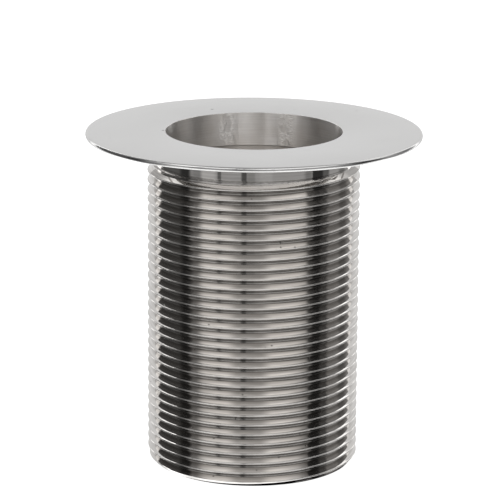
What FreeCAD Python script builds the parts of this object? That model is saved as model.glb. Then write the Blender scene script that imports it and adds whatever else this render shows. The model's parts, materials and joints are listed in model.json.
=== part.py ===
import FreeCAD, Part
import BOPTools.SplitAPI as split
import math
import os
from FreeCAD import Vector

# Thru hull fitting: a thin flat flange with a short spigot, welded to a long threaded barrel.
# +Z points outboard along the bore. The origin is on the bore's axis, in the plane of the
# flange's seating face, which is the face that clamps against the outside of the hull.
# All sizes are in millimetres.

# Driving dimensions
flange_diameter = 75.0
flange_thickness = 1.15
bore_diameter = 39.4             # water way through the flange and its spigot
spigot_depth = 6.45              # how far the spigot reaches into the barrel, below the seat
barrel_bore_diameter = 40.9      # inside of the barrel's pipe
spigot_wall = 1.075
spigot_clearance = 0.025         # radial slip fit of the spigot in the barrel's counterbore
spigot_end_gap = 0.3             # room between the spigot's end and the counterbore's floor
barrel_length = 74.4             # from the seat to the inboard end
thread_diameter = 47.5           # over the crests
threads_per_inch = 11.5
thread_depth = 1.5
root_flat = 0.28
flank_angle = 30.0               # each flank, from the plane across the axis
thread_phase = -6.53             # height of one crest's middle at azimuth zero
neck_relief = 0.1                # the neck is turned this much below the thread's root
neck_length = 5.85               # plain neck between the seat and the thread's run-out
run_out_slope = 0.5              # axial fall of the run-out cone per unit of radius
end_chamfer = 1.15               # 45 degree chamfer outside the inboard end
recess_depth = 0.3               # shallow recess in the flange that the barrel's end stands in
recess_radius = 24.05            # just past the crests, so the seat starts where a hull can reach it
weld_leg = 0.7                   # small fillet weld between the neck and the recess's floor
weld_crown = 0.62                # middle of the bead's arc from the corner, as a share of the leg
beyond_crest = 0.6               # how far cutting shapes run out past the crests

# Derived sizes
pitch = 25.4 / threads_per_inch
flange_radius = flange_diameter / 2
bore_radius = bore_diameter / 2
barrel_bore_radius = barrel_bore_diameter / 2
crest_radius = thread_diameter / 2
root_radius = crest_radius - thread_depth
neck_radius = root_radius - neck_relief
spigot_radius = bore_radius + spigot_wall
counterbore_radius = spigot_radius + spigot_clearance
counterbore_depth = spigot_depth + spigot_end_gap
flank_rise = thread_depth * math.tan(math.radians(flank_angle))
crest_flat = pitch - root_flat - 2 * flank_rise


def straight(outline):
    """The edges that join (radius, height) points in the XZ plane, one after another."""
    return Part.makePolygon([Vector(radius, 0, height) for radius, height in outline]).Edges


def bowed(first, middle, last):
    """One arc edge through three (radius, height) points in the XZ plane."""
    return Part.Arc(*[Vector(radius, 0, height) for radius, height in (first, middle, last)]).toShape()


def revolved(edges):
    """The solid that a closed outline sweeps about Z."""
    return Part.Face(Part.Wire(edges)).revolve(Vector(0, 0, 0), Vector(0, 0, 1), 360)


def flange_with_spigot():
    """A flat turned ring with a round rim, whose short spigot locates it in the barrel."""
    rim = flange_thickness / 2
    rim_top = (flange_radius - rim, flange_thickness)
    rim_foot = (flange_radius - rim, 0)
    body = straight([
        rim_top,
        (bore_radius, flange_thickness),
        (bore_radius, -spigot_depth),
        (spigot_radius, -spigot_depth),
        (spigot_radius, recess_depth),
        (recess_radius - recess_depth, recess_depth),
        (recess_radius, 0),
        rim_foot,
    ])
    return revolved(body + [bowed(rim_foot, (flange_radius, rim), rim_top)])


def thread_outline():
    """One pitch of the thread's outline, up from the middle of a root flat at height zero."""
    first_flank = root_flat / 2
    crest_start = first_flank + flank_rise
    crest_end = crest_start + crest_flat
    points = [
        (root_radius, 0),
        (root_radius, first_flank),
        (crest_radius, crest_start),
        (crest_radius, crest_end),
        (root_radius, crest_end + flank_rise),
        (root_radius, pitch),
    ]
    return Part.Wire(straight(points))


def thread_surface(low, high):
    """The right-hand helical skin of the thread, from below low to above high, as one shell."""
    phase = thread_phase - pitch / 2
    start = phase - pitch * math.ceil((phase - low) / pitch + 1)
    turns = math.ceil((high - start) / pitch) + 1
    helix = Part.makeHelix(pitch, pitch, root_radius)
    turn = Part.Wire(helix).makePipeShell([thread_outline()], False, True)
    faces = []
    for number in range(turns):
        copy = turn.copy()
        copy.translate(Vector(0, 0, start + number * pitch))
        faces += copy.Faces
    shell = Part.makeShell(faces)
    shell.sewShape()
    return shell


def threaded_barrel():
    """A pipe with a counterbored mouth, a plain neck and a thread from there to its inboard end."""
    outside = crest_radius + beyond_crest
    end_radius = crest_radius - end_chamfer
    blank = revolved(straight([
        (counterbore_radius, recess_depth),
        (counterbore_radius, -counterbore_depth),
        (barrel_bore_radius, -counterbore_depth),
        (barrel_bore_radius, -barrel_length),
        (end_radius, -barrel_length),
        (outside, -barrel_length + outside - end_radius),
        (outside, -neck_length - (outside - neck_radius) * run_out_slope),
        (neck_radius, -neck_length),
        (neck_radius, recess_depth),
        (counterbore_radius, recess_depth),
    ]))
    skin = thread_surface(-barrel_length, recess_depth)
    pieces = split.slice(blank, [skin], "Split").Solids
    return min(pieces, key=lambda piece: piece.BoundBox.XMax)


def flange_weld():
    """A small fillet bead in the corner between the neck and the floor of the flange's recess."""
    corner = (neck_radius, recess_depth)
    toe = (neck_radius + weld_leg, recess_depth)
    lower = (neck_radius, recess_depth - weld_leg)
    middle = weld_crown * weld_leg
    crown = (neck_radius + middle, recess_depth - middle)
    return revolved(straight([lower, corner, toe]) + [bowed(toe, crown, lower)])


def export(name, shape):
    """Writes one sub-part after checking that it is a sound closed solid."""
    solid = shape.Solids[0]
    print(name, "valid", solid.isValid(), "solids", len(shape.Solids), "volume", round(solid.Volume, 1))
    solid.exportStep(os.path.join("parts", name + ".step"))


os.makedirs("parts", exist_ok=True)
export("flange_with_spigot", flange_with_spigot())
export("threaded_barrel", threaded_barrel())
export("flange_weld", flange_weld())
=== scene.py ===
import bpy
import bmesh
import json
import math
import random
from mathutils import Matrix, Vector

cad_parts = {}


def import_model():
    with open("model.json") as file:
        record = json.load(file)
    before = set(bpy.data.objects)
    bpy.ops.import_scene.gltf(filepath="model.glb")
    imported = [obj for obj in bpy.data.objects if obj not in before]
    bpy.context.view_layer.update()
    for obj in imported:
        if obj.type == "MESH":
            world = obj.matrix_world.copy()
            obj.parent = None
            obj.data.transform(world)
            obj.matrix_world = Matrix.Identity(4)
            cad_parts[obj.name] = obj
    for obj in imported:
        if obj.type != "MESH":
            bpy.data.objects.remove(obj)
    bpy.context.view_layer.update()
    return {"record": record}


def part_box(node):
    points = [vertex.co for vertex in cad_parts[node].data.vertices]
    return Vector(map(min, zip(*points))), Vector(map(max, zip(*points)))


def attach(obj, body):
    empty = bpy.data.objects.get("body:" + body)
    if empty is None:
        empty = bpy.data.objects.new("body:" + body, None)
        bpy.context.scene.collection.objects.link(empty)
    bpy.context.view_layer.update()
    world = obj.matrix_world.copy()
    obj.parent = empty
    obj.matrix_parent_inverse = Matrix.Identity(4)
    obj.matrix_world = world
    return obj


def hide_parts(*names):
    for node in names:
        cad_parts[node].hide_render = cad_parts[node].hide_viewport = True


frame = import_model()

MM = 0.001

# ---------------------------------------------------------------- sizes, from the frame
flange_low, flange_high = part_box("flange_with_spigot")
barrel_low, barrel_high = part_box("threaded_barrel")
weld_low, weld_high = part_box("flange_weld")
mounts = {mount["name"]: mount for mount in frame["record"]["mounts"]}

FLANGE_R = flange_high.x
FLANGE_TOP = flange_high.z
RIM = FLANGE_TOP / 2
SPIGOT_END = flange_low.z
BARREL_END = barrel_low.z
RECESS = barrel_high.z
BORE_R = mounts["water_way"]["dims"]["r_mm"] * MM
PIPE_R = mounts["barrel_bore"]["dims"]["r_mm"] * MM
CREST_R = mounts["hull_thread"]["dims"]["r_mm"] * MM
TOE_R = weld_high.x
WELD_LEG = RECESS - weld_low.z

# ---------------------------------------------------------------- sizes, as the CAD has them
SPIGOT_WALL = 1.075 * MM
SPIGOT_CLEARANCE = 0.025 * MM
SPIGOT_END_GAP = 0.3 * MM
RECESS_R = 24.05 * MM
SPIGOT_R = BORE_R + SPIGOT_WALL
COUNTERBORE_R = SPIGOT_R + SPIGOT_CLEARANCE
COUNTERBORE_END = SPIGOT_END - SPIGOT_END_GAP

THREADS_PER_INCH = 11.5
THREAD_DEPTH = 1.5 * MM
ROOT_HALF = 0.14 * MM          # half of the root's flat
FLANK_ANGLE = 30
CREST_PHASE = -6.53 * MM       # height of one crest's middle in the direction of +X
NECK_RELIEF = 0.1 * MM
NECK_END = -5.85 * MM
RUN_OUT_SLOPE = 0.5
END_CHAMFER = 1.15 * MM
PITCH = 25.4 / THREADS_PER_INCH * MM
FLANK = math.tan(math.radians(FLANK_ANGLE))
ROOT_R = CREST_R - THREAD_DEPTH
NECK_R = ROOT_R - NECK_RELIEF
END_R = CREST_R - END_CHAMFER

# ---------------------------------------------------------------- mesh finish
TURN_STEPS = 384
RIM_STEPS = 720
BEAD_STEPS = 1152
COARSE_RUN = 0.45 * MM         # longest run along the thread's outline on most turns
FINE_RUN = 0.12 * MM           # near the inboard end
FINEST_RUN = 0.05 * MM         # in the run-out
MOUTH_ROUND = 0.14 * MM        # broken edge at the bore's mouth
CREST_ROUND = 0.15 * MM        # how far before a thread's corner its curve starts
ROOT_ROUND = 0.10 * MM
RIM_NICKS = 46
NICK_TALL = 0.4 * MM
RAGGED = 0.06 * MM             # how far the torn start of the thread strays
GROOVE_Z = NECK_END + 0.26 * MM
GROOVE_HALF = 0.24 * MM        # the cutter's relief at the foot of the neck
GROOVE_DEPTH = 0.10 * MM
BEAD_STEP = 0.8 * MM           # distance between the weld's ripples
BEAD_BULGE = 0.11              # how far the bead swells, as a share of its leg
RIPPLE_DEPTH = 0.04 * MM
RIPPLE_WANDER = 0.02 * MM


# ---------------------------------------------------------------- mesh helpers
def mesh_piece(name, vertices, faces, smooth_angle=35):
    """A mesh object whose faces are smooth except across edges sharper than smooth_angle."""
    mesh = bpy.data.meshes.new(name)
    mesh.from_pydata(vertices, [], faces)
    bm = bmesh.new()
    bm.from_mesh(mesh)
    bmesh.ops.remove_doubles(bm, verts=bm.verts, dist=1e-7)
    bmesh.ops.dissolve_degenerate(bm, edges=bm.edges, dist=1e-7)
    bmesh.ops.recalc_face_normals(bm, faces=bm.faces)
    limit = math.radians(smooth_angle)
    for edge in bm.edges:
        edge.smooth = len(edge.link_faces) == 2 and edge.calc_face_angle(0) < limit
    for face in bm.faces:
        face.smooth = True
    bm.to_mesh(mesh)
    bm.free()
    piece = bpy.data.objects.new(name, mesh)
    bpy.context.scene.collection.objects.link(piece)
    return piece


def arc(centre_r, centre_z, radius, start, end, steps=8):
    """Points (r, z) round part of a circle, from start to end degrees, 0 being outward."""
    angles = [math.radians(start + (end - start) * i / steps) for i in range(steps + 1)]
    return [(centre_r + radius * math.cos(a), centre_z + radius * math.sin(a)) for a in angles]


def polar(radius, turn, z):
    return (radius * math.cos(turn), radius * math.sin(turn), z)


def lathe(name, outline, steps, shift=None):
    """The closed ring that an outline of (r, z) points makes round Z, each point moved by shift."""
    count = len(outline)
    vertices = []
    for step in range(steps):
        turn = 2 * math.pi * step / steps
        for r, z in outline:
            if shift:
                r, z = shift(r, z, turn)
            vertices.append(polar(r, turn, z))
    faces = []
    for step in range(steps):
        here = step * count
        after = (step + 1) % steps * count
        for i in range(count):
            j = (i + 1) % count
            faces.append((here + i, here + j, after + j, after + i))
    return mesh_piece(name, vertices, faces)


def wander(seed, waves):
    """A smooth repeating function of an angle, between about -1 and 1, from whole-number waves."""
    chance = random.Random(seed)
    parts = [(wave, chance.uniform(0, 2 * math.pi), chance.uniform(0.5, 1)) for wave in waves]
    total = sum(size for _, _, size in parts)
    return lambda turn: sum(size * math.sin(wave * turn + start) for wave, start, size in parts) / total


def rounded(points, cuts, steps=4):
    """The same line with each corner swapped for a short curve that starts cut before it."""
    out = [points[0]]
    for before, here, after, cut in zip(points, points[1:], points[2:], cuts[1:]):
        corner = Vector(here)
        a = corner + (Vector(before) - corner).normalized() * cut
        b = corner + (Vector(after) - corner).normalized() * cut
        for i in range(steps + 1):
            t = i / steps
            out.append(tuple(a * (1 - t) ** 2 + corner * 2 * t * (1 - t) + b * t ** 2))
    return out + [points[-1]]


def refined(points, longest):
    """The same closed pitch of points with long runs divided."""
    out = []
    closed = points + [(points[0][0] + PITCH, points[0][1])]
    for (z0, r0), (z1, r1) in zip(closed, closed[1:]):
        parts = max(1, math.ceil(math.hypot(z1 - z0, r1 - r0) / longest))
        out += [(z0 + (z1 - z0) * i / parts, r0 + (r1 - r0) * i / parts) for i in range(parts)]
    return out


# ---------------------------------------------------------------- pieces
def flange_with_spigot():
    """The thin turned flange with its round, slightly knocked rim and its short spigot."""
    centre = FLANGE_R - RIM
    outline = arc(centre, RIM, RIM, -90, 90, 16)
    outline += arc(BORE_R + MOUTH_ROUND, FLANGE_TOP - MOUTH_ROUND, MOUTH_ROUND, 90, 180, 5)
    outline += [(BORE_R, SPIGOT_END), (SPIGOT_R, SPIGOT_END), (SPIGOT_R, RECESS)]
    outline += [(RECESS_R - RECESS, RECESS), (RECESS_R, 0)]
    chance = random.Random(11)
    # each nick: where it is round the rim, how wide in radians, how deep and at what height
    nicks = []
    for _ in range(RIM_NICKS):
        nicks.append((chance.uniform(0, 2 * math.pi), chance.uniform(0.004, 0.012),
                      chance.uniform(0.02, 0.09) * MM, chance.uniform(0.1, 0.9) * FLANGE_TOP))

    def knock(r, z, turn):
        if r < centre + 0.1 * RIM:
            return r, z
        depth = 0
        for where, width, deep, height in nicks:
            along = abs((turn - where + math.pi) % (2 * math.pi) - math.pi) / width
            up = abs(z - height) / NICK_TALL
            depth += deep * max(0, 1 - along) * max(0, 1 - up)
        return r - depth, z

    return lathe("flange", outline, RIM_STEPS, knock)


def thread_profile():
    """(height, radius) points of one pitch, up from the middle of a root, with rounded corners."""
    rise = THREAD_DEPTH * FLANK
    crest = PITCH / 2
    crest_start = ROOT_HALF + rise
    half = [(0, ROOT_R), (ROOT_HALF, ROOT_R), (crest_start, CREST_R), (crest, CREST_R)]
    cuts = [0, ROOT_ROUND, min(CREST_ROUND, crest - crest_start), 0]
    points = rounded(half, cuts)
    mirrored = [(PITCH - z, r) for z, r in reversed(points[:-1])]
    return points + mirrored[:-1]


def threaded_barrel():
    """The pipe, whose outside rows run along the thread's helix."""
    coarse = refined(thread_profile(), COARSE_RUN)
    fine = refined(thread_profile(), FINE_RUN)
    finest = refined(thread_profile(), FINEST_RUN)
    torn = wander(3, (5, 9, 14, 23, 31, 37))
    first = math.floor((BARREL_END - CREST_PHASE) / PITCH) - 2
    last = math.ceil(-CREST_PHASE / PITCH) + 2
    rows = []
    for turn in range(first, last):
        base = CREST_PHASE - PITCH / 2 + turn * PITCH
        near_foot = base < BARREL_END + 2 * PITCH
        run_out = NECK_END - 3 * PITCH < base < NECK_END + PITCH
        profile = finest if run_out else fine if near_foot else coarse
        rows += [(base + z, r) for z, r in profile]
    vertices = []
    for step in range(TURN_STEPS + 1):
        angle = 2 * math.pi * step / TURN_STEPS
        neck_end = NECK_END + RAGGED * torn(angle)
        for base, r in rows:
            z = min(RECESS, max(BARREL_END, base + PITCH * step / TURN_STEPS))
            cone = NECK_R + max(0, neck_end - z) / RUN_OUT_SLOPE
            chamfer = END_R + (z - BARREL_END)
            groove = GROOVE_DEPTH * max(0, 1 - abs(z - GROOVE_Z) / GROOVE_HALF)
            vertices.append(polar(min(r, cone, chamfer) - groove, angle, z))
    count = len(rows)
    faces = []
    for step in range(TURN_STEPS):
        for i in range(count - 1):
            here = step * count + i
            after = here + count
            faces.append((here, here + 1, after + 1, after))
    # the inboard end, the inside wall, the counterbore and the end that stands in the flange
    inside = [(END_R, BARREL_END), (PIPE_R, BARREL_END), (PIPE_R, COUNTERBORE_END)]
    inside += [(COUNTERBORE_R, COUNTERBORE_END), (COUNTERBORE_R, RECESS), (NECK_R, RECESS)]
    start = len(vertices)
    ring = len(inside)
    for step in range(TURN_STEPS):
        angle = 2 * math.pi * step / TURN_STEPS
        vertices += [polar(r, angle, z) for r, z in inside]
    for step in range(TURN_STEPS):
        here = start + step * ring
        after = start + (step + 1) % TURN_STEPS * ring
        for i in range(ring - 1):
            faces.append((here + i, here + i + 1, after + i + 1, after + i))
    return mesh_piece("barrel", vertices, faces, 25)


def flange_weld():
    """The small fillet bead, with the ripples that a welder's steps leave."""
    outline = [(NECK_R, RECESS), (TOE_R, RECESS)]
    for i in range(1, 10):
        t = i / 10
        bulge = BEAD_BULGE * WELD_LEG * math.sin(math.pi * t)
        outline.append((TOE_R - WELD_LEG * t + bulge, RECESS - WELD_LEG * t - bulge))
    outline.append((NECK_R, RECESS - WELD_LEG))
    ripples = round(2 * math.pi * NECK_R / BEAD_STEP)
    uneven = wander(5, (3, 5, 9, 14, 23))

    def ripple(r, z, turn):
        depth = min(1, max(0, (r - NECK_R) * (RECESS - z)) / (0.25 * WELD_LEG ** 2))
        curl = 2.2 * (r - NECK_R + z - RECESS) / WELD_LEG
        wave = abs(math.sin(turn * ripples / 2 + curl * curl))
        sink = depth * (RIPPLE_DEPTH * (1 - wave) + RIPPLE_WANDER * (1 + uneven(turn)))
        return r - sink, z + sink

    return lathe("weld_bead", outline, BEAD_STEPS, ripple)


# ---------------------------------------------------------------- node helpers
def add(tree, kind, inputs=None, **settings):
    """A new node with its settings, whose inputs are given numbers or other nodes' outputs."""
    made = tree.nodes.new(kind)
    for name, value in settings.items():
        setattr(made, name, value)
    for key, value in (inputs or {}).items():
        if isinstance(value, bpy.types.NodeSocket):
            tree.links.new(value, made.inputs[key])
        else:
            made.inputs[key].default_value = value
    return made


def maths(tree, operation, first, second=0.0):
    return add(tree, "ShaderNodeMath", {0: first, 1: second}, operation=operation).outputs[0]


def fade(tree, value, start, end, low=0.0, high=1.0):
    """Goes smoothly from low, where value is start, to high, where it is end."""
    inputs = {"Value": value, "From Min": start, "From Max": end, "To Min": low, "To Max": high}
    return add(tree, "ShaderNodeMapRange", inputs, interpolation_type="SMOOTHSTEP").outputs["Result"]


def blend(tree, factor, first, second):
    """A colour between first and second."""
    inputs = {"Factor": factor, "A": first, "B": second}
    made = add(tree, "ShaderNodeMix", data_type="RGBA")
    for key, value in inputs.items():
        socket = [s for s in made.inputs if s.name == key and s.enabled][0]
        if isinstance(value, bpy.types.NodeSocket):
            tree.links.new(value, socket)
        else:
            socket.default_value = value
    return [s for s in made.outputs if s.enabled][0]


def grey(level):
    return (level, level, level, 1)


def warm(level, tint=0.028):
    """A slightly warm steel colour of the given brightness."""
    return (level * (1 + tint), level, level * (1 - tint), 1)


class Surface:
    """The places on a turned part, in its own frame: x, y, z and the distance from the axis."""

    def __init__(self, tree):
        self.tree = tree
        self.place = add(tree, "ShaderNodeTexCoord").outputs["Object"]
        split = add(tree, "ShaderNodeSeparateXYZ", {0: self.place})
        self.x, self.y, self.z = split.outputs
        square = maths(tree, "ADD", maths(tree, "POWER", self.x, 2), maths(tree, "POWER", self.y, 2))
        self.radius = maths(tree, "SQRT", square)

    def tool_marks(self, across, length, spacing, detail=3.0):
        """Noise in rings round the axis: length long round it, spacing wide along across."""
        tree = self.tree
        parts = {0: maths(tree, "MULTIPLY", self.x, 1 / length),
                 1: maths(tree, "MULTIPLY", self.y, 1 / length),
                 2: maths(tree, "MULTIPLY", across, 1 / spacing)}
        where = add(tree, "ShaderNodeCombineXYZ", parts).outputs[0]
        return self.noise(1.0, detail, where)

    def noise(self, scale, detail=2.0, where=None):
        inputs = {"Vector": where or self.place, "Scale": scale, "Detail": detail}
        return add(self.tree, "ShaderNodeTexNoise", inputs).outputs["Fac"]

    def specks(self, size, share, seed):
        """Small round spots, size apart, of which only a share shows."""
        tree = self.tree
        shifted = add(tree, "ShaderNodeVectorMath", {0: self.place, 1: (seed, seed, seed)}).outputs[0]
        cells = add(tree, "ShaderNodeTexVoronoi", {"Vector": shifted, "Scale": 1 / size})
        spot = fade(tree, cells.outputs["Distance"], 0.16, 0.07)
        chosen = add(tree, "ShaderNodeSeparateColor", {0: cells.outputs["Color"]}).outputs[0]
        return maths(tree, "MULTIPLY", spot, maths(tree, "LESS_THAN", chosen, share))

    def spot(self, place, size):
        """One round mark at a place."""
        apart = add(self.tree, "ShaderNodeVectorMath", {0: self.place, 1: place}, operation="DISTANCE")
        return fade(self.tree, apart.outputs["Value"], size, 0.5 * size)


def steel(name, colour, roughness):
    """A bare metal with its shader and the surface's places, ready for detail."""
    material = bpy.data.materials.new(name)
    material.use_nodes = True
    tree = material.node_tree
    shader = tree.nodes["Principled BSDF"]
    shader.inputs["Base Color"].default_value = colour
    shader.inputs["Metallic"].default_value = 1
    shader.inputs["Roughness"].default_value = roughness
    return material, tree, shader, Surface(tree)


def bumped(tree, shader, layers):
    """Stacks bump layers of (height output, depth in metres) under the shader."""
    normal = None
    for height, depth in layers:
        inputs = {"Height": height, "Distance": depth, "Strength": 1.0}
        if normal:
            inputs["Normal"] = normal
        normal = add(tree, "ShaderNodeBump", inputs).outputs[0]
    tree.links.new(normal, shader.inputs["Normal"])


# ---------------------------------------------------------------- materials
CHATTER = (108, 68)            # where the cutter chattered in the bore, in degrees from +X


def flange_steel():
    """Satin polished plate: fine grain, faint turning rings, a few pits and one scratch."""
    material, tree, shader, at = steel("flange_steel", warm(0.61, 0.008), 0.17)
    rings = at.tool_marks(at.radius, 30 * MM, 0.12 * MM)
    grain = at.noise(2600, 3.0)
    cloud = at.noise(60, 3.0)
    pits = at.specks(3.2 * MM, 0.05, 0.013)
    pit_right = at.spot((23.6 * MM, 22.2 * MM, FLANGE_TOP), 0.32 * MM)
    pit_left = at.spot((-31.5 * MM, -9.0 * MM, FLANGE_TOP), 0.2 * MM)
    scratch = at.spot((-20.2 * MM, -0.7 * MM, FLANGE_TOP), 0.42 * MM)
    marks = pits
    for mark in (pit_right, pit_left, scratch):
        marks = maths(tree, "MAXIMUM", marks, mark)
    colour = blend(tree, fade(tree, cloud, 0.3, 0.7), warm(0.60, 0.008), warm(0.625, 0.006))
    colour = blend(tree, fade(tree, rings, 0.35, 0.65, 0, 0.35), colour, warm(0.585, 0.01))
    colour = blend(tree, marks, colour, warm(0.16, 0.03))
    tree.links.new(colour, shader.inputs["Base Color"])
    tree.links.new(fade(tree, grain, 0.3, 0.7, 0.13, 0.22), shader.inputs["Roughness"])
    dents = maths(tree, "MULTIPLY", marks, -1.0)
    bumped(tree, shader, [(rings, 0.0012 * MM), (grain, 0.0010 * MM), (dents, 0.03 * MM)])
    return material


def ringed(tree, shader):
    """Stretches the shader's reflections along Z, as rings cut round the axis do."""
    shader.inputs["Anisotropic"].default_value = 1.0
    shader.inputs["Anisotropic Rotation"].default_value = 0.25
    tangent = add(tree, "ShaderNodeTangent", direction_type="RADIAL", axis="Z").outputs[0]
    tree.links.new(tangent, shader.inputs["Tangent"])


def bore_steel():
    """Bored wall: fine rings, brown stains and two bands where the cutter chattered."""
    material, tree, shader, at = steel("bore_steel", warm(0.80, 0.04), 0.30)
    ringed(tree, shader)
    rings = at.tool_marks(at.z, 9 * MM, 0.09 * MM)
    torn = at.tool_marks(at.z, 0.7 * MM, 0.15 * MM, 2.0)
    turn = maths(tree, "MULTIPLY", maths(tree, "ARCTAN2", at.y, at.x), math.degrees(1))
    bands = 0.0
    for middle in CHATTER:
        apart = maths(tree, "ABSOLUTE", maths(tree, "SUBTRACT", turn, middle))
        bands = maths(tree, "MAXIMUM", fade(tree, apart, 8, 3), bands)
    bands = maths(tree, "MULTIPLY", bands, fade(tree, at.noise(420, 2.0), 0.38, 0.55))
    torn = maths(tree, "MULTIPLY", torn, bands)
    stain = fade(tree, at.noise(160, 4.0), 0.35, 0.7)
    colour = blend(tree, stain, warm(0.86, 0.02), warm(0.76, 0.04))
    colour = blend(tree, fade(tree, rings, 0.35, 0.7, 0, 0.3), colour, warm(0.50, 0.06))
    tree.links.new(colour, shader.inputs["Base Color"])
    bumped(tree, shader, [(rings, 0.004 * MM), (torn, 0.10 * MM)])
    return material


def pipe_steel():
    """The pipe's own inside: duller and browner, with drawing marks."""
    material, tree, shader, at = steel("pipe_steel", warm(0.55, 0.05), 0.3)
    ringed(tree, shader)
    rings = at.tool_marks(at.z, 6 * MM, 0.2 * MM)
    scale = fade(tree, at.noise(220, 4.0), 0.35, 0.65)
    colour = blend(tree, scale, warm(0.60, 0.045), warm(0.54, 0.06))
    tree.links.new(colour, shader.inputs["Base Color"])
    tree.links.new(fade(tree, scale, 0, 1, 0.30, 0.34), shader.inputs["Roughness"])
    bumped(tree, shader, [(rings, 0.008 * MM), (at.noise(900, 3.0), 0.002 * MM)])
    return material


def barrel_steel():
    """Cut thread: near mirror flanks with fine cutting lines, rougher roots darkened by painted shade, pits
    and nicks.
    """
    material, tree, shader, at = steel("barrel_steel", warm(0.64), 0.06)
    lines = at.tool_marks(at.z, 22 * MM, 0.20 * MM, 4.0)
    drag = at.tool_marks(at.z, 3 * MM, 0.25 * MM)
    sway = at.noise(170, 2.0)
    pits = at.specks(1.6 * MM, 0.10, 0.031)
    outside = fade(tree, at.radius, ROOT_R + 0.2 * MM, CREST_R - 0.4 * MM)
    threaded = fade(tree, at.z, NECK_END - 0.3 * PITCH, NECK_END - PITCH)
    # Mask of the thread roots: it darkens the colour there as painted shade, and adds real roughness for the
    # roots' duller finish.
    root = maths(tree, "MULTIPLY", maths(tree, "SUBTRACT", 1.0, outside), threaded)
    colour = blend(tree, fade(tree, sway, 0.35, 0.65), warm(0.67), warm(0.63, 0.035))
    # Painted shade: the colour is darkened in the thread roots.
    colour = blend(tree, root, colour, warm(0.46, 0.045))
    colour = blend(tree, fade(tree, lines, 0.40, 0.66, 0, 0.45), colour, warm(0.42, 0.035))
    colour = blend(tree, fade(tree, drag, 0.50, 0.75, 0, 0.30), colour, warm(0.46, 0.04))
    colour = blend(tree, maths(tree, "MULTIPLY", pits, 0.8), colour, warm(0.16, 0.05))
    tree.links.new(colour, shader.inputs["Base Color"])
    rough = fade(tree, drag, 0.35, 0.7, 0.03, 0.08)
    rough = maths(tree, "ADD", rough, maths(tree, "MULTIPLY", root, 0.03))
    tree.links.new(rough, shader.inputs["Roughness"])
    dents = maths(tree, "MULTIPLY", pits, -1.0)
    bumped(tree, shader, [(sway, 0.006 * MM), (drag, 0.0006 * MM), (lines, 0.0008 * MM), (dents, 0.02 * MM)])
    return material


def weld_steel():
    """Brushed bead: grey ripples with straw heat tint beside them."""
    material, tree, shader, at = steel("weld_steel", warm(0.52), 0.3)
    patchy = fade(tree, at.noise(420, 3.0), 0.3, 0.7)
    brushed = at.tool_marks(at.z, 2 * MM, 0.08 * MM)
    near_toe = fade(tree, at.radius, TOE_R - 0.25 * MM, TOE_R)
    near_neck = fade(tree, at.z, weld_low.z + 0.25 * MM, weld_low.z)
    edge = maths(tree, "MAXIMUM", near_toe, near_neck)
    colour = blend(tree, patchy, warm(0.62, 0.02), warm(0.52, 0.04))
    colour = blend(tree, maths(tree, "MULTIPLY", edge, 0.35), colour, (0.52, 0.43, 0.30, 1))
    tree.links.new(colour, shader.inputs["Base Color"])
    tree.links.new(fade(tree, patchy, 0, 1, 0.22, 0.42), shader.inputs["Roughness"])
    bumped(tree, shader, [(brushed, 0.006 * MM), (at.noise(1500, 3.0), 0.004 * MM)])
    return material


# ---------------------------------------------------------------- studio
# Brightness of each part of the studio, and the elevations, in degrees, between which it fades in.
BACKDROP_LOW = 0.75
BACKDROP_HIGH = 0.85
BACKDROP_RISE = (-8, 8)
CEILING = 0.32
CEILING_FROM = (56, 70)
UPPER_GAIN = 2.6               # how much brighter the camera's side of the room gets up high
UPPER_FROM = (18, 32)
UPPER_EDGE = (139, 133)        # azimuths, either side of the camera, between which it begins
# Panels round the fitting: middle and half width in degrees from straight in front, to the right,
# then how soft the panel's edges are and how bright it is. Later ones lie in front of earlier ones.
ROOM_PANELS = [
    (0, 142, 4, 0.40),              # the camera's side of the room
    (-139, 5, 1.5, 1.7),            # bright strips beside the backdrop
    (143, 4.5, 1.5, 1.7),
    (-109, 25, 2, 0.11),            # left black flag, darkest on its front edge
    (-86, 8, 8, 0.035),
    (-67, 9, 8, 0.26),
    (-54, 9, 6, 0.55),              # left soft box
    (-40, 2.2, 1.5, 0.15),          # light stand
    (-11, 3.2, 2.5, 0.10),          # camera's own side
    (-3, 4.5, 3, 0.30),
    (14, 7, 4, 0.46),
    (66, 5, 6, 0.24),
    (80, 8.5, 1.5, 0.035),          # right black flag
    (92, 5, 4, 0.13),
    (123, 7, 6, 0.22),
]
FLOOR_FROM = (-28, -39)
FLOOR_DIM = (-49, -40, 0.75, 1.25)  # two elevations, then the floor's dimming at each
FLOOR_NEAR = 1.75                   # the floor round the foot, seen steeply
FLOOR_NEAR_FROM = (-50, -57)
FLOOR_BACK = 1.7
FLOOR_PANELS = [
    (0, 140, 4, 1.3),               # in front of the fitting and to its sides
    (-4, 22, 18, 0.72),
    (-101, 31, 12, 0.26),           # shaded by the flags
    (83, 13, 5, 0.28),
]


FLOOR_RADIUS = 8
FLOOR_CORNERS = 96
FLOOR_GAP = 0.02 * MM               # between the fitting's foot and the floor

CAMERA_ELEVATION = 14.567           # degrees
CAMERA_ROLL = 0.365
CAMERA_DISTANCE = 622.7 * MM        # to the point that it looks at
CAMERA_AIM = (-0.741 * MM, 0, FLANGE_TOP - 27.49 * MM)
CAMERA_LENS = 199.37                # millimetres, on a 36 mm sensor
CAMERA_SENSOR = 36


def panelled(tree, azimuth, light, panels):
    """Lays soft-edged vertical panels over a light, one after another."""
    for middle, half, soft, level in panels:
        apart = maths(tree, "ABSOLUTE", maths(tree, "SUBTRACT", azimuth, middle))
        inside = fade(tree, apart, half + soft / 2, half - soft / 2)
        light = blend(tree, inside, light, grey(level))
    return light


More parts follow.
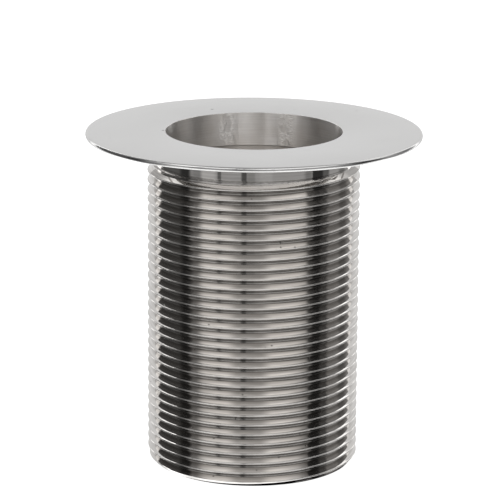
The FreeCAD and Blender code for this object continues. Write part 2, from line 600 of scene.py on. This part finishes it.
def world():
    """The studio that the metal reflects: panels by azimuth, a bright floor and a grey ceiling."""
    made = bpy.data.worlds.new("studio")
    bpy.context.scene.world = made
    made.use_nodes = True
    tree = made.node_tree
    tree.nodes.clear()
    direction = add(tree, "ShaderNodeTexCoord").outputs["Generated"]
    split = add(tree, "ShaderNodeSeparateXYZ", {0: direction})
    front = maths(tree, "MULTIPLY", split.outputs[1], -1.0)
    turn = maths(tree, "ARCTAN2", split.outputs[0], front)
    azimuth = maths(tree, "MULTIPLY", turn, math.degrees(1))
    elevation = maths(tree, "MULTIPLY", maths(tree, "ARCSINE", split.outputs[2]), math.degrees(1))
    backdrop = fade(tree, elevation, *BACKDROP_RISE, BACKDROP_LOW, BACKDROP_HIGH)
    room = panelled(tree, azimuth, backdrop, ROOM_PANELS)
    # the soft boxes on the camera's side are brightest up high
    aside = maths(tree, "ABSOLUTE", azimuth)
    above = maths(tree, "MULTIPLY", fade(tree, elevation, *UPPER_FROM), fade(tree, aside, *UPPER_EDGE))
    room = maths(tree, "MULTIPLY", room, maths(tree, "ADD", maths(tree, "MULTIPLY", above, UPPER_GAIN), 1.0))
    ground = panelled(tree, azimuth, grey(FLOOR_BACK), FLOOR_PANELS)
    ground = maths(tree, "MULTIPLY", ground, fade(tree, elevation, *FLOOR_DIM))
    ground = blend(tree, fade(tree, elevation, *FLOOR_NEAR_FROM), ground, grey(FLOOR_NEAR))
    light = blend(tree, fade(tree, elevation, *FLOOR_FROM), room, ground)
    light = blend(tree, fade(tree, elevation, *CEILING_FROM), light, grey(CEILING))
    seen = add(tree, "ShaderNodeLightPath").outputs["Is Camera Ray"]
    colour = blend(tree, seen, light, grey(1.0))
    background = add(tree, "ShaderNodeBackground", {"Color": colour})
    output = add(tree, "ShaderNodeOutputWorld")
    tree.links.new(background.outputs[0], output.inputs[0])
    bpy.context.scene.view_settings.view_transform = "Standard"


def floor():
    """A wide pale floor under the fitting, lit a little by its own glow so that it stays white."""
    bpy.ops.mesh.primitive_circle_add(vertices=FLOOR_CORNERS, radius=FLOOR_RADIUS, fill_type="NGON")
    disc = bpy.context.object
    disc.name = "floor"
    disc.location.z = BARREL_END - FLOOR_GAP
    material = bpy.data.materials.new("pale_floor")
    material.use_nodes = True
    shader = material.node_tree.nodes["Principled BSDF"]
    shader.inputs["Base Color"].default_value = grey(0.3)
    shader.inputs["Roughness"].default_value = 0.7
    shader.inputs["Specular IOR Level"].default_value = 0.0
    shader.inputs["Emission Color"].default_value = grey(1.0)
    shader.inputs["Emission Strength"].default_value = 0.9
    disc.data.materials.append(material)
    disc.visible_glossy = False


def soft_box(name, place, size, power):
    """A large soft lamp that lights the floor and is left out of the metal's reflections."""
    data = bpy.data.lights.new(name, "AREA")
    data.shape = "SQUARE"
    data.size = size
    data.energy = power
    lamp = bpy.data.objects.new(name, data)
    lamp.location = place
    aim = Vector((0, 0, BARREL_END)) - Vector(place)
    lamp.rotation_euler = aim.to_track_quat("-Z", "Y").to_euler()
    lamp.visible_glossy = False
    bpy.context.scene.collection.objects.link(lamp)


def camera():
    """A long lens that looks down a little at the fitting, with a slight roll."""
    elevation = math.radians(CAMERA_ELEVATION)
    roll = math.radians(CAMERA_ROLL)
    look = Vector((0, math.cos(elevation), -math.sin(elevation)))
    right = Vector((1, 0, 0))
    up = Vector((0, math.sin(elevation), math.cos(elevation)))
    level_right = math.cos(roll) * right + math.sin(roll) * up
    level_up = -math.sin(roll) * right + math.cos(roll) * up
    data = bpy.data.cameras.new("camera")
    data.sensor_width = CAMERA_SENSOR
    data.lens = CAMERA_LENS
    data.clip_start = 0.01
    data.clip_end = 40
    viewer = bpy.data.objects.new("camera", data)
    place = Matrix((level_right, level_up, -look)).transposed().to_4x4()
    place.translation = Vector(CAMERA_AIM) - look * CAMERA_DISTANCE
    viewer.matrix_world = place
    bpy.context.scene.collection.objects.link(viewer)
    bpy.context.scene.camera = viewer


# ---------------------------------------------------------------- assembly
def put(piece, node, materials, inner_radius=0.0):
    """Places a piece on the body; faces inside inner_radius take the second material."""
    for material in materials:
        piece.data.materials.append(material)
    if inner_radius:
        for face in piece.data.polygons:
            middle = face.center
            face.material_index = int(math.hypot(middle.x, middle.y) < inner_radius)
    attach(piece, "root")
    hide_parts(node)


put(flange_with_spigot(), "flange_with_spigot",
    [flange_steel(), bore_steel()], BORE_R + 0.5 * MOUTH_ROUND)
put(threaded_barrel(), "threaded_barrel",
    [barrel_steel(), pipe_steel()], 0.5 * (COUNTERBORE_R + NECK_R))
put(flange_weld(), "flange_weld", [weld_steel()])
world()
floor()
soft_box("key", (-0.5, -0.6, 1.2), 1.2, 9)
soft_box("fill", (0.8, -0.2, 0.9), 1.0, 4)
camera()
